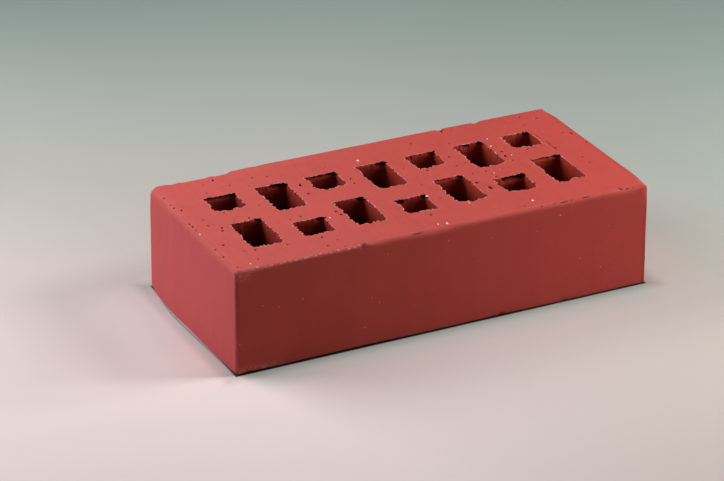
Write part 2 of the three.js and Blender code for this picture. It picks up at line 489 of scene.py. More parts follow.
def mouth_shift(outline, normal, depth, wear, sizes, seed):
    """How far a cell's wall stands back into the clay at a depth below the mouth. It is negative where a burr
    hangs over the cell."""
    near, far, left, right = edge_shares(normal)
    place = on_plane(outline)
    grit = noise(place, 0.6, seed)
    teeth = smooth_step(-0.15, 0.25, noise(place, 1.35, seed + 1)) - 0.5
    bites = smooth_step(0.35, 0.5, noise(place, 1.3, seed + 2))
    rough = layered_noise(place, 2.6, seed + 7)
    steps = smooth_step(-0.1, 0.1, noise(place, 3.4, seed + 5)) - 0.5
    waves = noise(place, 7.5, seed + 4)
    calm = 1 - 2.4 * left * near
    burr = sizes.burr * ((0.45 * waves + 0.5 * steps) * calm + 0.35 * teeth + 0.5 * rough + 0.45 * grit)
    ragged = sizes.tear * ((0.45 * steps + 0.15 * waves) * calm + 0.55 * teeth + 0.6 * rough + 0.6 * grit)
    torn = sizes.tear * (0.3 * teeth + 0.25 * rough + 0.35 * grit - 0.05)
    nibbled = sizes.tear * (0.9 * bites + 0.3 * rough + 0.35 * grit - 0.05)
    shift = wear.ragged * (near * burr * bell(depth, 0.9) + left * ragged * bell(depth, 1.3))
    shift += far * torn * bell(depth, 1.0) + right * nibbled * bell(depth, 1.1)
    notches = 1.6 * left * far + torn_corner(outline) * (0.35 + 0.7 * rough + 1.1 * teeth + 0.5 * grit)
    shift += sizes.tear * notches * bell(depth, 1.5)
    longest_burr, straight = 1.3 * MM, 0.999
    on_edge = np.abs(normal).max(axis=1) > straight
    furthest = np.where(on_edge, longest_burr, 0.5 * sizes.crisp_corner)
    return np.where(shift < 0, furthest * np.tanh(shift / furthest), shift)


def hollow_shift(outline, normal, depth, wear, sizes, seed):
    """How far a cell's far wall stands back below the mouth, where clay broke away under the edge."""
    left_end, right_end = outline[:, 0].min(), outline[:, 0].max()
    along = (outline[:, 0] - left_end) / (right_end - left_end)
    ease = 0.08  # the share of the edge over which a torn stretch sets in, and by which its ends wander
    along = along + ease * noise(on_plane(outline), 1.7, seed + 3)
    place = smooth_step(wear.start, wear.start + ease, along) * smooth_step(wear.end, wear.end - ease, along)
    reach = (0.9 + 2.3 * wear.hollow) * MM
    below = step_mm(0.12, 0.5, depth) * smooth_step(reach, 0.45 * reach, depth)
    lumps = 0.85 + 0.4 * noise(on_plane(outline, depth), 1.8, seed + 6)
    share = edge_shares(normal)[1] * place * (0.5 + 0.5 * wear.hollow) + 0.6 * torn_corner(outline)
    return sizes.hollow * share * below * lumps


def wall_shift(outline, z, sizes, seed):
    """Roughness of a cell's wall: drawn ridges along the cell, and lumps."""
    place = on_plane(outline, z)
    ridges = noise(place, (1.5, 1.5, 40), seed + 11)
    lumps = layered_noise(place, (4, 4, 5), seed + 12, 2)
    return sizes.wall_relief * (0.7 * ridges + 0.9 * lumps)


def lip_height(outline, normal, seed):
    """Height of the bed's rim round a cell: raised where the wire dragged clay, low where it tore."""
    near, far, left, _ = edge_shares(normal)
    place = on_plane(outline)
    crumbs = noise(place, 1.1, seed + 21)
    slow = noise(place, 6, seed + 22)
    dragged = (near + 0.6 * left) * (0.10 + 0.16 * np.clip(crumbs, 0, 1) + 0.08 * slow)
    torn = far * 0.30 * np.clip(-crumbs - 0.1, 0, 1)
    return (dragged - torn - 0.06) * MM


def bed_waves(flat, sizes, seed):
    """Height of a bed's slow waves and of the wire's drag marks, which run along Y. Nearly all is below 0."""
    place = on_plane(flat)
    waves = layered_noise(place, 34, seed, 2)
    drag = noise(place, (1.6, 26, 1), seed + 3)
    tearing = layered_noise(place, (3.0, 5.0, 1), seed + 7, 2)
    return sizes.bed_relief * (0.7 * waves + 0.18 * drag + 0.25 * tearing - 1)


def pit_reach(flat, pit):
    """How far each point is from a pit's middle, as a share of the pit's own half size."""
    turn = math.radians(pit.turn)
    dx, dy = flat[:, 0] - pit.x * MM, flat[:, 1] - pit.y * MM
    across = dx * math.cos(turn) + dy * math.sin(turn)
    along = -dx * math.sin(turn) + dy * math.cos(turn)
    return np.hypot(across / (pit.width * MM / 2), along / (pit.length * MM / 2))


def pit_points(pit):
    """Points that a pit's slope and rim need, so that it has a real edge: its middle and three rings."""
    turn = math.radians(pit.turn)
    points = [(pit.x, pit.y)]
    stretch = max(pit.width, pit.length) / min(pit.width, pit.length)
    for share, fewest in ((0.5, 6), (0.85, 10), (1.15, 12)):
        count = round(fewest * max(1, stretch / 3))
        for k in range(count):
            angle = math.tau * (k + share) / count
            across, along = share * pit.width / 2 * math.cos(angle), share * pit.length / 2 * math.sin(angle)
            points.append((
                pit.x + across * math.cos(turn) - along * math.sin(turn),
                pit.y + across * math.sin(turn) + along * math.cos(turn),
            ))
    return np.array(points) * MM


def scattered_pits(count, sizes, seed):
    """Small pits at random places, clear of one another, of the cells and of the arrises."""
    rng = np.random.default_rng(seed)
    from_end, from_side, from_cell, apart = 5, 4, 2.5, 5  # in millimetres
    half_x, half_y = HALF_X / MM - from_end, HALF_Y / MM - from_side
    found = []
    while len(found) < count:
        x, y = rng.uniform(-half_x, half_x), rng.uniform(-half_y, half_y)
        width = rng.uniform(0.45, 0.95)
        stretch, turn = rng.uniform(1, 2.2), rng.uniform(-25, 25)
        clear = clear_of_cells(np.array([[x, y]]) * MM, sizes, from_cell * MM)[0]
        if clear and all(math.hypot(x - p.x, y - p.y) > apart for p in found):
            found.append(Pit(x, y, width, width * stretch, turn))
    return tuple(found)


def side_radii(points, sizes):
    """Radius of the arris that each side face makes with the bed nearest to each point: left, right, front
    and back."""
    x, y, z = points.T
    upper = z > HEIGHT / 2
    near_corner = smooth_step(-HALF_Y, -HALF_Y / 2, y)
    corner_start = WIDTH * 0.38
    far_corner = smooth_step(corner_start, HALF_Y, y)
    left = mix(sizes.bed_arris * 1.3, sizes.rolled_arris, near_corner) * (1 - 0.2 * far_corner)
    front = mix(sizes.bed_arris, sizes.soft_arris, np.interp(x / MM, SOFT_PLACES, SOFT_SHARES))
    back = sizes.bed_arris * mix(0.6, 1.6, step_mm(-50, -85, x))
    right = sizes.bed_arris * mix(1.7, 3.8, smooth_step(corner_start, HALF_Y, np.abs(y)))
    wobble = noise(points, 11, 61)
    lower = sizes.bed_arris
    return [
        np.where(upper, high, low) * (1 + unevenness * wobble)
        for high, low, unevenness in (
            (left, 2.2 * lower, 0.3), (right, lower, 0.08), (front, lower, 0.3), (back, lower, 0.3)
        )
    ]


def round_arrises(points, sizes):
    """Points on a sharp block as points on the same block with rounded arrises. Returns them, the way each
    one faces, and how far it is round an arris, from 0 to 1."""
    x, y, z = points.T
    left, right, front, back = side_radii(points, sizes)
    gaps = np.stack([HALF_X + x, HALF_X - x, HALF_Y + y, HALF_Y - y])
    softness = 1.5 * MM  # of the change from one side's arris to the next one's at a corner
    pull = 1 / (gaps + softness) ** 3
    radius_z = (np.stack([left, right, front, back]) * pull).sum(0) / pull.sum(0)
    beside_bed = step_mm(11, 4, np.minimum(z, HEIGHT - z))
    side = sizes.side_arris * (1 + 0.2 * noise(points, 14, 62))
    radius_x = mix(side, np.where(x < 0, left, right), beside_bed)
    over_bed = np.where(z > HEIGHT / 2, SOFT_REACH, 1)
    radius_y = mix(side, np.where(y < 0, front * over_bed, back), beside_bed)
    radius = np.stack([radius_x, radius_y, radius_z], axis=1)
    low = np.stack([radius_x - HALF_X, radius_y - HALF_Y, radius_z], axis=1)
    high = np.stack([HALF_X - radius_x, HALF_Y - radius_y, HEIGHT - radius_z], axis=1)
    core = np.clip(points, low, high)
    way = (points - core) / radius
    way /= np.linalg.norm(way, axis=1, keepdims=True)
    rounded = core + way * radius
    facing = way / radius
    facing /= np.linalg.norm(facing, axis=1, keepdims=True)
    halfway = 1 / math.sqrt(2)
    bend = np.clip((1 - np.abs(way).max(axis=1)) / (1 - halfway), 0, 1)
    return rounded, facing, bend


def scuffed(points, facing):
    """How rubbed and crumbly the front is at each point, from 0 to 1: at its edges near the left end."""
    x, _, z = points.T
    front = smooth_step(-0.05, 0.3, -facing[:, 1])
    below = HEIGHT - z
    edge = step_mm(-34, -46, x) * step_mm(1.5, 0.4, below)
    corner = step_mm(-95, -108, x) * step_mm(8, 2, below)
    foot = step_mm(-82, -98, x) * step_mm(6, 1.5, z)
    return front * np.maximum(edge, 0.4 * np.maximum(corner, foot))


def weather(points, facing, bend, sizes):
    """Moves points into the clay for chips, a wavy back arris and slow hollows in the side faces, lifts the
    lower front edge and swells the left header. Returns them, and how chipped each one is, from 0 to 1."""
    wave_depth, nibble_depth, hollow_depth = 0.75 * MM, 0.35 * MM, 0.10 * MM
    full_dark_depth = 0.4 * MM  # from here on a chip is darkened all over
    x, y, z = points.T
    loss = np.zeros(len(points))
    for k, chip in enumerate(CHIPS):
        middle = np.array([chip.x, chip.y, chip.z]) * MM
        reach = np.linalg.norm(points - middle, axis=1) / (chip.spread * MM)
        reach *= 1 + 0.5 * noise(points, 1.5, 70 + k)
        loss = np.maximum(loss, chip.depth * MM * smooth_step(1, 0.35, reach))
    chipped = np.clip(loss / full_dark_depth, 0, 1)
    back_top = step_mm(48.5, 52, y) * smooth_step(HEIGHT - 4 * MM, HEIGHT, z)
    wavy = smooth_step(-0.3, 0.4, layered_noise(points, (6.5, 30, 30), 90, 2))
    loss += wave_depth * back_top * wavy * step_mm(-42, -60, x)
    nibbled = np.clip(layered_noise(points, 2.4, 91, 2) - 0.25, 0, 1)
    loss += nibble_depth * bend * nibbled
    upright = 1 - np.abs(facing[:, 2])
    hollow = 0.5 + 0.5 * layered_noise(points, (45, 45, 30), 92, 2)
    loss += hollow_depth * upright * np.clip(hollow, 0, 1)
    worked = points - facing * loss[:, None]
    lifted = step_mm(-42, -51, y) * step_mm(7, 0, z)
    lifted *= step_mm(-110, -104, x) * mix(1, 0.25, step_mm(0, 90, x))
    worked[:, 2] += sizes.front_lift * lifted * (1 + 0.25 * noise(points, 16, 93))
    header = step_mm(-100, -109, x)
    from_peak = y / MM - SWELL_PEAK
    half = HALF_Y / MM
    share = np.where(from_peak < 0, -from_peak / (half + SWELL_PEAK), from_peak / (half - SWELL_PEAK))
    swell = (1 - share ** np.where(from_peak < 0, 1.6, 2.4)) * step_mm(46, 2, z)
    lean = 1 - 2 * z / HEIGHT
    worked[:, 0] -= header * (sizes.header_swell * swell + sizes.header_lean * lean)
    return worked, chipped


def worn_block(flat, z, sizes):
    """Points of the sharp block at one height, moved onto the worn one. Returns them, the way each one faces,
    how far it is round an arris and how chipped it is, both from 0 to 1."""
    points, facing, bend = round_arrises(on_plane(flat, z), sizes)
    points, chipped = weather(points, facing, bend, sizes)
    return points, facing, bend, chipped


# ---- mesh ----


def in_scene(name, data):
    """A new object with this data, linked to the scene."""
    item = bpy.data.objects.new(name, data)
    bpy.context.scene.collection.objects.link(item)
    return item


class Weave:
    """The brick's vertices, faces and surface masks as they are gathered."""

    # pit marks painted shade in pits, under torn cell rims and at torn corners, and darkened chips; worn
    # marks rubbed clay with a painted highlight at the arrises and round the mouths.
    MASKS = ("worn", "pit", "grain", "skin", "cell", "mouth", "scuff")

    def __init__(self):
        self.points = []
        self.faces = []
        self.masks = {name: [] for name in self.MASKS}
        self.count = 0

    def add(self, points, **masks):
        """Adds points with their masks, and returns their numbers."""
        self.points.append(points)
        for name in self.MASKS:
            self.masks[name].append(np.broadcast_to(masks.get(name, 0.0), len(points)))
        numbers = np.arange(self.count, self.count + len(points))
        self.count += len(points)
        return numbers

    def tube(self, rows):
        """Joins rows of numbers, each a closed loop, with quads. The faces look outwards when the rows rise,
        and inwards when they go down."""
        rows = np.asarray(rows)
        low, high = rows[:-1], rows[1:]
        corners = [low, np.roll(low, -1, 1), np.roll(high, -1, 1), high]
        self.faces.extend(np.stack(corners, axis=-1).reshape(-1, 4).tolist())

    def halve(self, upper, lower):
        """Joins a closed loop to one below it that has every second point."""
        here, middle, after = upper[::2], upper[1::2], np.roll(upper[::2], -1)
        beyond = np.roll(lower, -1)
        for corners in ((here, middle, lower), (middle, beyond, lower), (middle, after, beyond)):
            self.faces.extend(np.stack(corners, axis=-1).tolist())

    def object(self, name):
        """The gathered surface as a smooth-shaded object with its masks as attributes."""
        mesh = bpy.data.meshes.new(name)
        mesh.from_pydata(np.concatenate(self.points).tolist(), [], self.faces)
        for mask, values in self.masks.items():
            attribute = mesh.attributes.new(mask, "FLOAT", "POINT")
            attribute.data.foreach_set("value", np.concatenate(values).astype(np.float32))
        mesh.polygons.foreach_set("use_smooth", np.ones(len(mesh.polygons), bool))
        mesh.update()
        return in_scene(name, mesh)


def fill_bed(loops, free):
    """Triangles between the outer loop, which comes first, and the cells' loops, through the free points.
    Returns rows of numbers into the loops' and the free points' own order."""
    flat = np.concatenate([*loops, free])
    ends = np.cumsum([0, *(len(loop) for loop in loops)]).tolist()
    outlines = [list(range(start, end)) for start, end in itertools.pairwise(ends)]
    touching = 1e-6
    places, _, triangles, sources, _, _ = delaunay_2d_cdt(
        [Vector(p) for p in (flat / MM).tolist()], [], outlines, HOLES_OMITTED, touching
    )
    if len(places) != len(flat):
        raise RuntimeError("the bed's outlines cross each other")
    number = [source[0] for source in sources]
    return np.array([[number[v] for v in triangle] for triangle in triangles])


class Mouth(NamedTuple):
    """A cell's edge in a bed: its even outline, the direction into the clay, how far the clay stands back
    there, the rim's height and the points' numbers."""

    outline: np.ndarray
    normal: np.ndarray
    shift: np.ndarray
    lip: np.ndarray
    numbers: np.ndarray


def mouth_rings(mouths):
    """Points in a bed round the cells' mouths, with the rim's height at each one and how near it is to the
    mouth, from 0 to 1."""
    rings, lips, nearness = [], [], []
    for mouth in mouths:
        spacing = np.linalg.norm(mouth.outline[1] - mouth.outline[0])
        for k, offset in enumerate(RING_OFFSETS):
            stride = 2 ** max(0, math.ceil(math.log2(0.45 * offset / spacing)))
            every = slice(k % stride, None, stride)
            outline, normal = mouth.outline[every], mouth.normal[every]
            fade = (1 - offset / (3 * MM)) ** 2
            rings.append(outline + normal * (mouth.shift[every] * fade + offset)[:, None])
            lips.append(mouth.lip[every] * bell(offset, 0.9))
            nearness.append(np.full(len(outline), math.exp(-offset / PALE_RIM_REACH)))
    return [np.concatenate(parts) for parts in (rings, lips, nearness)]


def bed(weave, height, outer, mouths, pits, grains, sizes, step, seed):
    """One bed: the face at a height, between the block's edge and the cells' mouths.
    outer is the edge's (places, numbers)."""
    underneath = height < HEIGHT / 2
    rings, lip, beside = mouth_rings(mouths)
    xs, ys = block_steps(step)
    grid = np.stack(np.meshgrid(xs[1:-1], ys[1:-1], indexing="ij"), axis=-1).reshape(-1, 2)
    free = np.concatenate([rings, grid[clear_of_cells(grid, sizes, RING_OFFSETS[-1] + 0.5 * step)]])
    clear = np.all([pit_reach(free, mark) > PIT_CLEARANCE for mark in (*pits, *grains)], axis=0)
    free = np.concatenate([free[clear], *(pit_points(mark) for mark in (*pits, *grains))])
    clear = clear[:len(rings)]
    lip, beside = (np.pad(known[clear], (0, len(free) - clear.sum())) for known in (lip, beside))

    places = [outer[0], *(mouth.outline + mouth.normal * mouth.shift[:, None] for mouth in mouths)]
    triangles = fill_bed(places, free)
    first_free = sum(len(loop) for loop in places)
    used = np.zeros(first_free + len(free), bool)
    used[triangles] = True
    used = used[first_free:]
    free, lip, beside = free[used], lip[used], beside[used]

    points, facing, bend, chipped = worn_block(free, height, sizes)
    relief = (bed_waves(free, sizes, seed) + lip) * (1 - bend)
    pit_shade, grain_mask = np.zeros(len(free)), np.zeros(len(free))
    # Painted shade: the bottom of each pit gets the pit colour.
    for pit in pits:
        hollow = smooth_step(1.08, 0.6, pit_reach(free, pit))
        relief -= hollow * 0.85 * min(pit.width, pit.length, DEEPEST_PIT) * MM
        pit_shade = np.maximum(pit_shade, hollow)
    for grain in grains:
        lump = smooth_step(1.05, 0.5, pit_reach(free, grain))
        relief += lump * GRAIN_HEIGHT
        grain_mask = np.maximum(grain_mask, lump)
    if underneath:
        relief = np.minimum(relief, 0)
    points += facing * relief[:, None]
    # worn: rubbed clay with a painted highlight at the arrises and round the mouths.
    numbers = weave.add(
        points, worn=np.maximum(bend, 0.8 * beside), pit=np.maximum(pit_shade, 0.25 * chipped),
        grain=grain_mask, mouth=beside, scuff=scuffed(points, facing),
    )

    owner = np.zeros(first_free + len(used), int)
    owner[:first_free] = np.concatenate([outer[1], *(mouth.numbers for mouth in mouths)])
    owner[first_free:][used] = numbers
    triangles = owner[triangles]
    weave.faces.extend((triangles[:, ::-1] if underneath else triangles).tolist())


def cell_wall(weave, cell, upper_wear, lower_wear, sizes, seed):
    """The wall of one cell from bed to bed, with finer points round its upper mouth. Returns both mouths."""
    outline, normal = cell_outline(*cell, sizes, MOUTH_STEP, upper_wear.corner)
    fine_heights = HEIGHT - np.array([0, 0.22, 0.55, 1.0, 1.6, 2.4, 3.5, 5]) * MM
    middle_heights = np.linspace(HEIGHT - 7.5 * MM, 14 * MM, 6)
    low_heights = np.array([8.5, 4.5, 2.2, 0.9, 0.3, 0]) * MM
    rows, mouths = [], []
    for place, z in enumerate([*fine_heights, *middle_heights, *low_heights]):
        fine = place < len(fine_heights)
        around, way = (outline, normal) if fine else (outline[::2], normal[::2])
        ends = ((HEIGHT - z, upper_wear, seed + UPPER_RIM), (z, lower_wear, seed + LOWER_RIM))
        hollow = sum(hollow_shift(around, way, depth, wear, sizes, own) for depth, wear, own in ends)
        shift = hollow + wall_shift(around, z, sizes, seed)
        for depth, wear, own in ends:
            shift = shift + mouth_shift(around, way, depth, wear, sizes, own)
        points = on_plane(around + way * shift[:, None], z)
        nearest = min(HEIGHT - z, z)
        rim = math.exp(-nearest / PALE_RIM_REACH)
        if nearest == 0:
            rim_seed, waves_seed = (UPPER_RIM, UPPER_WAVES) if fine else (LOWER_RIM, LOWER_WAVES)
            lip = lip_height(around, way, seed + rim_seed)
            lip = lip if fine else np.minimum(lip, 0)
            relief = bed_waves(points[:, :2], sizes, waves_seed) + lip
            points[:, 2] += relief if fine else -np.minimum(relief, 0)
        # Painted shade, given the pit colour: on the wall where it stands back under a cell's far edge, and
        # at its torn corner.
        corner_shade = torn_corner(around) * math.exp(-nearest / CORNER_SHADE_REACH)
        dark = np.clip(0.5 * hollow / sizes.hollow + 0.5 * corner_shade, 0, 1)
        # worn near the mouth: rubbed clay with a painted highlight.
        rows.append(weave.add(points, worn=0.9 * rim, cell=1 - rim, mouth=rim, pit=dark))
        if nearest == 0:
            mouths.append(Mouth(around, way, shift, lip, rows[-1]))
    fine_rows, coarse_rows = rows[:len(fine_heights)], rows[len(fine_heights):]
    weave.tube(fine_rows)
    weave.halve(fine_rows[-1], coarse_rows[0])
    weave.tube(coarse_rows)
    return mouths


def sides(weave, sizes):
    """The four upright faces. Returns the sharp edge's places and the numbers of its lower and upper row."""
    edge = rectangle_loop(*block_steps(SIDE_STEP))
    rows = []
    for z in graded_steps(HEIGHT, ARRIS_STEP, ROW_STEP, ROW_REACH):
        points, facing, bend, chipped = worn_block(edge, z, sizes)
        upright = 1 - np.abs(facing[:, 2])
        scuff = scuffed(points, facing)
        rows.append(weave.add(points, worn=bend, skin=upright, pit=0.25 * chipped, scuff=scuff))
    weave.tube(rows)
    return edge, rows[0], rows[-1]


def brick_surface(sizes):
    """The whole surface of the brick as one closed object."""
    weave = Weave()
    edge, low_row, high_row = sides(weave, sizes)
    mouths = []
    for k, cell in enumerate(cells(sizes)):
        wear = [UPPER_WEAR[place % len(UPPER_WEAR)] for place in (k, k + WEAR_SHIFT)]
        mouths.append(cell_wall(weave, cell, *wear, sizes, CELL_SEED + NEXT_CELL * k))
    upper_mouths, lower_mouths = zip(*mouths)
    upper_pits = UPPER_PITS + tuple(
        p for p in scattered_pits(UPPER_LITTLE_PITS, sizes, seed=5)
        if all(math.hypot(p.x - q.x, p.y - q.y) > MARKS_APART for q in UPPER_PITS + WHITE_GRAINS)
    )
    lower_pits = scattered_pits(LOWER_LITTLE_PITS, sizes, seed=6)
    upper, lower = (edge, high_row), (edge, low_row)
    bed(weave, HEIGHT, upper, upper_mouths, upper_pits, WHITE_GRAINS, sizes, UPPER_STEP, UPPER_WAVES)
    bed(weave, 0, lower, lower_mouths, lower_pits, (), sizes, LOWER_STEP, LOWER_WAVES)
    return weave.object("brick_surface")


# ---- shaders ----


def operator(operation, swapped=False):
    """A method of Value that adds a Math node. swapped puts the other operand first."""
    def method(value, other):
        return value.apply(operation, *((other, value) if swapped else (value, other)))
    return method


class Value:
    """A shader socket. Each operator used on it adds a Math node to its graph."""

    def __init__(self, graph, socket):
        self.graph, self.socket = graph, socket

    def apply(self, operation, *operands):
        """Adds a Math node and returns what comes out of it."""
        return self.graph.node("Math", {"operation": operation}, dict(enumerate(operands)))

    __add__, __radd__ = operator("ADD"), operator("ADD", swapped=True)
    __sub__, __rsub__ = operator("SUBTRACT"), operator("SUBTRACT", swapped=True)
    __mul__, __rmul__ = operator("MULTIPLY"), operator("MULTIPLY", swapped=True)
    __rtruediv__ = operator("DIVIDE", swapped=True)
    __rpow__ = operator("POWER", swapped=True)

    def least(self, other):
        """The smaller of this value and another."""
        return self.apply("MINIMUM", self, other)

    def most(self, other):
        """The larger of this value and another."""
        return self.apply("MAXIMUM", self, other)

    def size(self):
        """This value without its sign."""
        return self.apply("ABSOLUTE", self)

    def clamped(self):
        """This value, held between 0 and 1."""
        return self.graph.node("Clamp", {}, {"Value": self})

    def ramp(self, start, end):
        """0 up to start and 1 from end on, smooth between them. start may be the larger."""
        inputs = {0: self, 1: start, 2: end} if start <= end else {0: self, 1: end, 2: start, 3: 1.0, 4: 0.0}
        return self.graph.node("MapRange", {"interpolation_type": "SMOOTHSTEP"}, inputs)

    def ramp_mm(self, start, end):
        """The same, with start and end in millimetres."""
        return self.ramp(start * MM, end * MM)


def opaque(colour):
    """A three-part colour with full alpha."""
    return (*colour, 1.0)


class Graph:
    """The nodes of one material or world."""

    def __init__(self, owner):
        owner.use_nodes = True
        self.tree = owner.node_tree
        self.tree.nodes.clear()

    def node(self, kind, settings, inputs, output=0):
        """Adds a shader node, sets it up and feeds its sockets with values or links. Returns one of its
        outputs, or nothing where output is None."""
        node = self.tree.nodes.new("ShaderNode" + kind)
        for name, setting in settings.items():
            setattr(node, name, setting)
        for key, given in inputs.items():
            if isinstance(given, Value):
                self.tree.links.new(given.socket, node.inputs[key])
            else:
                node.inputs[key].default_value = given
        return None if output is None else Value(self, node.outputs[output])

    def place(self):
        """Where each point is, in the object's own frame."""
        return self.node("TexCoord", {}, {}, "Object")

    def axis(self, place, name):
        """One axis of a place."""
        return self.node("SeparateXYZ", {}, {0: place}, name)

    def mix(self, factor, a, b, blend="MIX"):
        """Two colours mixed by a factor."""
        a, b = (tone if isinstance(tone, Value) else opaque(tone) for tone in (a, b))
        return self.node("Mix", {"data_type": "RGBA", "blend_type": blend}, {0: factor, 6: a, 7: b}, 2)

    def layers(self, colour, *tones):
        """A colour with others laid over it in turn, each given with its mask."""
        for mask, tone in tones:
            colour = self.mix(mask, colour, tone)
        return colour

    def shaded(self, colour, value):
        """A colour times a value."""
        grey = self.node("CombineColor", {}, {0: value, 1: value, 2: value})
        return self.mix(1.0, colour, grey, "MULTIPLY")

    def noise(self, place, scale, detail=2.0, roughness=0.5):
        """Noise from 0 to 1 with a scale in bumps a metre."""
        inputs = {"Vector": place, "Scale": scale, "Detail": detail, "Roughness": roughness}
        return self.node("TexNoise", {}, inputs)

    def stretched(self, place, scale):
        """A place with each axis scaled by itself."""
        return self.node("VectorMath", {"operation": "MULTIPLY"}, {0: place, 1: scale})

    def mask(self, name):
        """One of the mesh's own masks."""
        return self.node("Attribute", {"attribute_name": name}, {}, "Fac")

    def specks(self, place, scale, size, share):
        """Round specks: 1 inside one, 0 between them. share is how many of the pattern's places hold one."""
        reach, tint = (
            self.node("TexVoronoi", {"feature": "F1"}, {"Vector": place, "Scale": scale}, output)
            for output in ("Distance", "Color")
        )
        pick = self.node("SeparateColor", {}, {0: tint})
        return reach.ramp(size, size * 0.4) * pick.ramp(share, share - 0.02)


def fired_clay(finish):
    """Fired red clay: wire-cut beds, die skin on the sides, rough cells, worn edges, pits and grains, with
    painted shade deep in the cells, in pits, under torn rims and at the right end, and a painted highlight
    round the mouths.
    """
    material = bpy.data.materials.new("fired_clay")
    graph = Graph(material)
    place = graph.place()
    along, height = graph.axis(place, "X"), graph.axis(place, "Z")
    worn, pit, grain, skin, cell, mouth, scuff = (graph.mask(name) for name in Weave.MASKS)
    # Painted shade: the cell walls darken towards the core colour deeper in the cells.
    inside = height.least(HEIGHT - height).ramp_mm(2, 20)

    clouds = graph.noise(place, 22, 3)
    patches = graph.noise(place, 130, 3, 0.6)
    sand = graph.noise(place, 1500, 3, 0.7)
    speckle = graph.noise(place, 650, 2, 0.6)
    streaks, drag, bands = (
        graph.noise(graph.stretched(place, scale), 1.0)
        for scale in ((420, 420, 9), (520, 40, 40), (60, 60, 4))
    )
    rubs = graph.noise(graph.stretched(place, (0.6, 1.0, 1.0)), 1100, 3, 0.7)
    dark = graph.specks(place, 170, 0.11, 0.16) * (1 - skin * 0.7)
    pale = graph.specks(graph.stretched(place, (1.1, 0.9, 1.0)), 120, 0.07, 0.10)
    crumbs = graph.specks(graph.stretched(place, (1.0, 1.0, 0.7)), 250, 0.09, 0.2) * skin

    # Painted light: the beds paler and the skins deeper towards the left end.
    bed_tone = graph.mix(along.ramp_mm(-120, 120), finish.bed_left, finish.bed_right)
    skin_tone = graph.mix(along.ramp_mm(-120, 60), finish.skin_left, finish.skin_right)
    side_tone = graph.mix(along.ramp_mm(-108.8, -109.5), skin_tone, finish.header)
    walls = graph.mix(along.ramp_mm(-100, 90), finish.cell_left, finish.cell_right)
    walls = graph.mix(inside, walls, finish.core)
    colour = graph.layers(bed_tone, (skin, side_tone), (cell, walls))
    shade = 1 + (clouds - 0.5) * 0.16 + (patches - 0.5) * 0.16 + (sand - 0.5) * 0.3
    shade = shade + skin * ((streaks - 0.5) * 0.10 + (bands - 0.5) * 0.14) + (1 - skin) * (drag - 0.5) * 0.08
    # Painted shade: the right header and its arrises are darkened to keep the lamps' highlight off them.
    colour = graph.shaded(colour, shade * (1 - along.ramp_mm(107.2, 109.0) * finish.right_end_shade))

    # Rubbed clay with a painted highlight along the arrises and round the mouths, left off at the right end.
    rubbed = (worn * (0.25 + patches * 0.5)).clamped() * (1 - cell) * along.ramp_mm(109, 103)
    rolled = along.ramp_mm(-105, -107.5) * height.ramp_mm(51, 53)
    fold = worn.ramp(0.0, 0.02) * worn.ramp(0.09, 0.04) * height.ramp_mm(53.0, 53.4)
    fold = fold * (1 - mouth.ramp(0, 0.02)) * (1 - cell.ramp(0, 0.02)) * (0.4 + patches)
    colour = graph.layers(
        colour,
        (rubbed * 0.55, finish.worn),
        ((rolled * 0.6 + fold).clamped() * 0.3, finish.rolled),
        (dark * 0.6, finish.pit),
        (pale * 0.45, finish.grain),
        (crumbs * 0.2, finish.grain),
        # A painted highlight round the mouths, then pale crumbs and dark specks there.
        (mouth.ramp(0.3, 0.8) * 0.6, finish.worn),
        (speckle.ramp(0.54, 0.64) * mouth.ramp(0.25, 0.7) * 0.45, finish.grain),
        (speckle.ramp(0.42, 0.34) * mouth.ramp(0.25, 0.6) * 0.7, finish.pit),
        (rubs.ramp(0.36, 0.54) * scuff * 0.8, finish.worn),
        (rubs.ramp(0.57, 0.64) * scuff * scuff * 0.6, finish.grain),
        # Painted shade at the bottom of pits, under torn cell rims and at torn cell corners; chips are
        # darkened too.
        (pit.ramp(0.08, 0.5), finish.pit),
        (grain.ramp(0.2, 0.6), finish.grain),
    )

    skin_gap = finish.skin_roughness - finish.bed_roughness
    roughness = finish.bed_roughness + skin * skin_gap + (patches - 0.5) * 0.12
    texture = sand * 0.55 + patches * 0.45 + (1 - skin) * drag * 0.5 + skin * streaks * 0.35
    texture = texture * (1 - skin * 0.72)
    bump = graph.node("Bump", {}, {"Strength": 0.55, "Distance": 0.22 * MM, "Height": texture})
    shader = graph.node("BsdfPrincipled", {}, {
        "Base Color": colour, "Roughness": roughness, "Normal": bump, "Specular IOR Level": CLAY_SPECULAR
    })
    graph.node("OutputMaterial", {}, {"Surface": shader}, None)
    return material


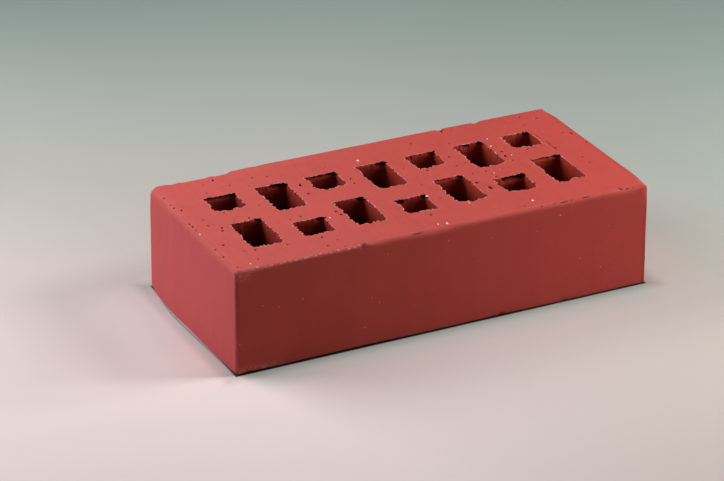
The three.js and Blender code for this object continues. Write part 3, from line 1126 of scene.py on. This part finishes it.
def pale_paper(studio, sizes):
    """Seamless paper, with painted light and shade over its own tint, which is warm in front of the brick and
    cooler and greener behind it: painted bright in front and darker behind for the lamps' falloff, a painted
    contact shadow where the brick's lower edge keeps the light off it and a painted soft shade round its
    foot, painted light that lifts the left header's cast shadow, and painted shade under the low soft boxes
    so that it looks evenly lit."""
    material = bpy.data.materials.new("pale_paper")
    graph = Graph(material)
    place = graph.place()
    sine, cosine = math.sin(studio.azimuth), math.cos(studio.azimuth)
    depth, across = (
        graph.node("VectorMath", {"operation": "DOT_PRODUCT"}, {0: place, 1: way}, "Value")
        for way in ((-sine, cosine, 0.0), (cosine, sine, 0.0))
    )
    # Painted light: the paper bright in front and at the left, darker behind and at the right.
    side = across.ramp(-0.07, 0.25)
    near = graph.mix(side, studio.near_left, studio.near_right)
    middle = graph.mix(side, studio.middle_left, studio.middle_right)
    far = graph.mix(across.ramp(-0.3, 0.0), studio.far_left, studio.far_right)
    colour = graph.layers(near, (depth.ramp(-0.11, 0.15), middle), (depth.ramp(-0.1, 0.5), far))

    x, y = graph.axis(place, "X"), graph.axis(place, "Y")
    ahead, behind = y * -1 - HALF_Y, y - HALF_Y
    beyond_end = x.size() - HALF_X
    past_peak = y - SWELL_PEAK * MM
    swell = past_peak.ramp(HALF_Y - SWELL_PEAK * MM, 0) * past_peak.ramp(-HALF_Y - SWELL_PEAK * MM, 0)
    from_foot = x * -1 - HALF_X - swell * sizes.header_swell - sizes.header_lean
    # Painted light: paler paper in the left header's cast shadow and beside its foot, lifting that shadow.
    shadowed = y.ramp_mm(5, -35)
    along_header = (ahead + from_foot * 0.2).ramp_mm(8, -8)
    along_header = along_header * behind.ramp_mm(22, -14) * from_foot.ramp_mm(-8, -2)
    shadow_lift = from_foot.ramp_mm(95, 45) * 0.85 * shadowed * along_header
    header_lift = from_foot.ramp_mm(60, 20) * 0.35 * (1 - shadowed) + from_foot.ramp_mm(5, 1) * 0.4
    colour = graph.layers(
        colour, (shadow_lift, studio.header_shadow_lift), (header_lift * along_header, studio.beside_header_lift)
    )
    # Painted shade: the paper darker and greener just in front of the brick.
    front_shade = ahead.ramp_mm(24, 0) * ahead.ramp_mm(-10, 0) * beyond_end.ramp_mm(4, -12)
    colour = graph.mix(front_shade * 0.9, colour, studio.foot, "MULTIPLY")
    # Painted shadow: a soft dark ring round the brick's foot, darker under the left header's swell, and black
    # under the brick.
    beside = (beyond_end - 2 * MM).most(ahead).most(behind)
    under_swell = from_foot.size().ramp_mm(1.0, 0) * ahead.ramp_mm(2, 0) * behind.ramp_mm(2, 0)
    underneath = ahead.most(behind).most(beyond_end).ramp_mm(1.0, 0)
    for mask in (beside.ramp_mm(9, 0) * 0.3, under_swell * 0.4, underneath):
        colour = graph.mix(mask, colour, studio.contact_shadow)
    for pool in POOLS:
        inputs = {0: place, 1: (pool.x, pool.y, 0.0)}
        reach = graph.node("VectorMath", {"operation": "DISTANCE"}, inputs, "Value")
        light = pool.rest + pool.peak * math.e ** (reach * (-1 / pool.fade))
        colour = graph.shaded(colour, 1 / light.most(1))
    shader = graph.node("BsdfPrincipled", {}, {"Base Color": colour, "Roughness": 0.8})
    graph.node("OutputMaterial", {}, {"Surface": shader}, None)
    return material


# ---- studio ----


class Lamp(NamedTuple):
    """A square, white soft box that looks at the brick, with its angles in degrees, its lengths in metres and
    its power in watts."""

    name: str
    azimuth: float
    elevation: float
    distance: float
    size: float
    power: float


LAMPS = (
    Lamp("overhead", 0, 89, 0.6, 0.34, 0.5),
    Lamp("back_left", 230, 30, 0.7, 0.5, 4.3),
    Lamp("low_right", 70, 18, 0.5, 0.25, 2.3),
    Lamp("high_right", 70, 42, 1.2, 0.4, 5.0),
)


def direction(azimuth, elevation):
    """Unit vector towards a place round the brick, from angles in radians. Azimuth 0 is in front of it, at
    -Y, and a quarter turn is at +X."""
    level = math.cos(elevation)
    return Vector((math.sin(azimuth) * level, -math.cos(azimuth) * level, math.sin(elevation)))


def add_lamp(lamp):
    """Adds one soft box, out of the camera's sight."""
    data = bpy.data.lights.new(lamp.name, "AREA")
    data.size, data.energy = lamp.size, lamp.power
    item = in_scene(lamp.name, data)
    way = direction(math.radians(lamp.azimuth), math.radians(lamp.elevation))
    item.location = way * lamp.distance
    item.rotation_euler = way.to_track_quat("Z", "Y").to_euler()
    item.visible_camera = False


def add_camera(studio):
    """Adds the camera and makes it the scene's own."""
    back = direction(studio.azimuth, studio.elevation)
    right = Vector((math.cos(studio.azimuth), math.sin(studio.azimuth), 0))
    up = back.cross(right)
    lean_right = right * math.cos(studio.roll) + up * math.sin(studio.roll)
    lean_up = up * math.cos(studio.roll) - right * math.sin(studio.roll)
    data = bpy.data.cameras.new("camera")
    data.lens, data.sensor_width = studio.lens, SENSOR_WIDTH
    data.clip_start, data.clip_end = CLIP_NEAR, CLIP_FAR
    camera = in_scene("camera", data)
    turn = Matrix((lean_right, lean_up, back)).transposed().to_4x4()
    place = lean_right * studio.right + lean_up * studio.up + back * studio.distance
    camera.matrix_world = Matrix.Translation(place) @ turn
    bpy.context.scene.camera = camera


def add_floor(studio, sizes):
    """Adds a round sheet of pale paper under the brick."""
    angles = [math.tau * k / FLOOR_SIDES for k in range(FLOOR_SIDES)]
    rim = [(FLOOR_RADIUS * math.cos(angle), FLOOR_RADIUS * math.sin(angle), 0) for angle in angles]
    mesh = bpy.data.meshes.new("floor")
    mesh.from_pydata(rim, [], [list(range(FLOOR_SIDES))])
    mesh.materials.append(pale_paper(studio, sizes))
    floor = in_scene("floor", mesh)


def add_world(studio):
    """A plain, weak light from all round. The camera sees it as pale grey."""
    world = bpy.data.worlds.new("studio")
    graph = Graph(world)
    seen = graph.node("LightPath", {}, {}, "Is Camera Ray")
    light, backdrop = (
        graph.node("Background", {}, {"Color": opaque(tone), "Strength": strength})
        for tone, strength in ((studio.world, studio.world_strength), (studio.backdrop, 1.0))
    )
    both = graph.node("MixShader", {}, {0: seen, 1: light, 2: backdrop})
    graph.node("OutputWorld", {}, {"Surface": both}, None)
    bpy.context.scene.world = world


# ---- operators and panel ----


class BRICK_OT_add_brick(bpy.types.Operator):
    """Build the brick's fired surface over its solid"""

    bl_idname = "brick.add_brick"
    bl_label = "Add Brick"

    def execute(self, context):
        brick = brick_surface(context.scene.brick_sizes)
        brick.data.materials.append(fired_clay(context.scene.clay_finish))
        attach(brick, BODY)
        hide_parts(NODE)
        return {"FINISHED"}


class BRICK_OT_add_studio(bpy.types.Operator):
    """Set the floor, the soft boxes, the world and the camera"""

    bl_idname = "brick.add_studio"
    bl_label = "Add Studio"

    def execute(self, context):
        studio = context.scene.studio_settings
        add_floor(studio, context.scene.brick_sizes)
        add_world(studio)
        add_camera(studio)
        for lamp in LAMPS:
            add_lamp(lamp)
        context.scene.view_settings.view_transform = "Standard"
        return {"FINISHED"}


class BRICK_PT_panel(bpy.types.Panel):
    """The brick's steps and settings"""

    bl_idname = "BRICK_PT_panel"
    bl_label = "Clay Brick"
    bl_space_type = "VIEW_3D"
    bl_region_type = "UI"
    bl_category = "Brick"

    def draw(self, context):
        for button in (BRICK_OT_add_brick, BRICK_OT_add_studio):
            self.layout.operator(button.bl_idname)
        for group in (getattr(context.scene, name) for name in SETTINGS):
            box = self.layout.box()
            for name in group.__annotations__:
                box.prop(group, name)


SETTINGS = {"brick_sizes": BrickSizes, "clay_finish": ClayFinish, "studio_settings": StudioSettings}
CLASSES = (*SETTINGS.values(), BRICK_OT_add_brick, BRICK_OT_add_studio, BRICK_PT_panel)


def register():
    """Adds the classes and the scene's settings."""
    for item in CLASSES:
        bpy.utils.register_class(item)
    for name, group in SETTINGS.items():
        setattr(bpy.types.Scene, name, bpy.props.PointerProperty(type=group))


def unregister():
    """Takes them away again."""
    for name in SETTINGS:
        delattr(bpy.types.Scene, name)
    for item in reversed(CLASSES):
        bpy.utils.unregister_class(item)


def main():
    """Builds the brick and its studio."""
    register()
    bpy.ops.brick.add_brick()
    bpy.ops.brick.add_studio()


if __name__ == "__main__":
    main()
